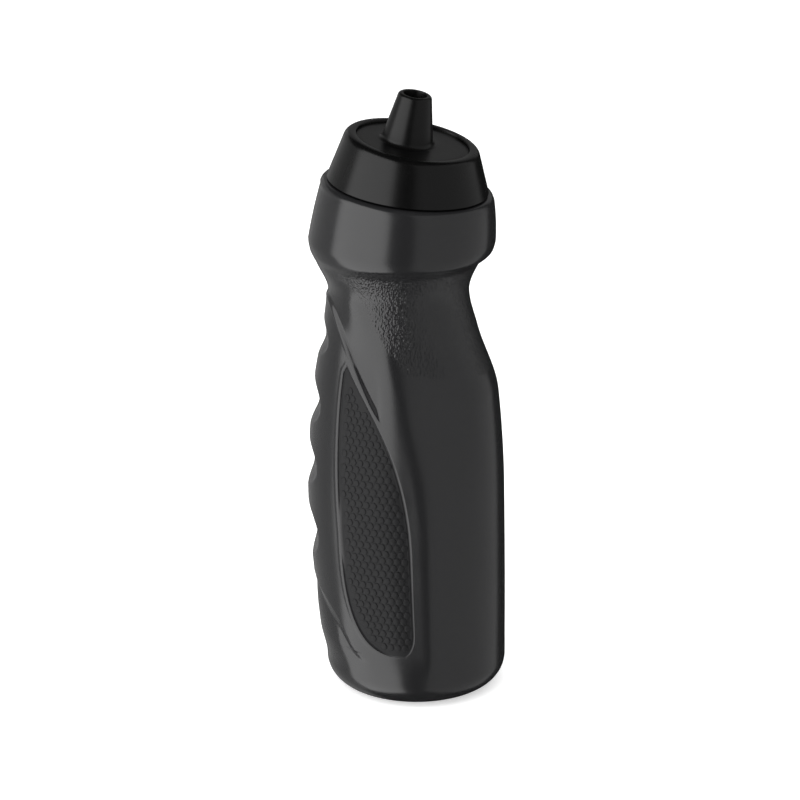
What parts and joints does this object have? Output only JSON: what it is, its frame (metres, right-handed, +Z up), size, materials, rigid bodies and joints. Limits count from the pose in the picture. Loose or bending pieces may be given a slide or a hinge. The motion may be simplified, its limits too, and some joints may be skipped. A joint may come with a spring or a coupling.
{
  "type": "sports squeeze bottle",
  "caption": "Squeezable sports drink bottle with a gripped waist, screw cap, soft spout and a self-closing valve.",
  "frame": {"origin": "middle of the object's box at the height it stands on", "axes": "+Z up, -Y the smooth front that the neck leans towards, +Y the finger grip"},
  "size_m": [0.0752, 0.0822, 0.2496],
  "materials": {
    "body": "satin blow-moulded polyethylene, soft gloss",
    "cap": "satin moulded polypropylene",
    "mouthpiece": "smooth soft elastomer, semi-gloss",
    "seal": "matt gasket rubber",
    "silicone": "milky silicone",
    "retainer": "moulded plastic"
  },
  "bodies": {
    "bottle": {"bottle": "body"},
    "seal": {"sealing_ring": "seal"},
    "cap": {"screw_cap": "cap", "mouthpiece": "mouthpiece", "valve": "silicone", "valve_retainer": "retainer"},
    "flap_1": {"valve_flap_1": "silicone"},
    "flap_2": {"valve_flap_2": "silicone"},
    "flap_3": {"valve_flap_3": "silicone"},
    "flap_4": {"valve_flap_4": "silicone"}
  },
  "joints": [
    {"name": "cap_rise", "type": "slide", "parent": "bottle", "child": "seal", "axis": [0, -0.1201, 0.9928], "range_m": [0, 0.009]},
    {"name": "cap_turn", "type": "hinge", "parent": "seal", "child": "cap", "pos_m": [0, -0.00022, 0.211], "axis": [0, -0.1201, 0.9928], "range_deg": [0, 810]},
    {"name": "flap_1_bend", "type": "hinge", "parent": "cap", "child": "flap_1", "pos_m": [0.00272, -0.0003, 0.23087], "axis": [0, 0.984, 0.1779], "range_deg": [0, 70], "stiffness_Nm_per_rad": 0.00002},
    {"name": "flap_2_bend", "type": "hinge", "parent": "cap", "child": "flap_2", "pos_m": [0, 0.00237, 0.23136], "axis": [-1, 0, 0], "range_deg": [0, 70], "stiffness_Nm_per_rad": 0.00002},
    {"name": "flap_3_bend", "type": "hinge", "parent": "cap", "child": "flap_3", "pos_m": [-0.00272, -0.0003, 0.23087], "axis": [0, -0.984, -0.1779], "range_deg": [0, 70], "stiffness_Nm_per_rad": 0.00002},
    {"name": "flap_4_bend", "type": "hinge", "parent": "cap", "child": "flap_4", "pos_m": [0, -0.00298, 0.23039], "axis": [1, 0, 0], "range_deg": [0, 70], "stiffness_Nm_per_rad": 0.00002}
  ],
  "couplings": [
    {"joint": "cap_turn", "follows": "cap_rise", "rad_per_m": 1570.8},
    {"joint": "flap_2_bend", "follows": "flap_1_bend", "ratio": 1},
    {"joint": "flap_3_bend", "follows": "flap_1_bend", "ratio": 1},
    {"joint": "flap_4_bend", "follows": "flap_1_bend", "ratio": 1}
  ]
}
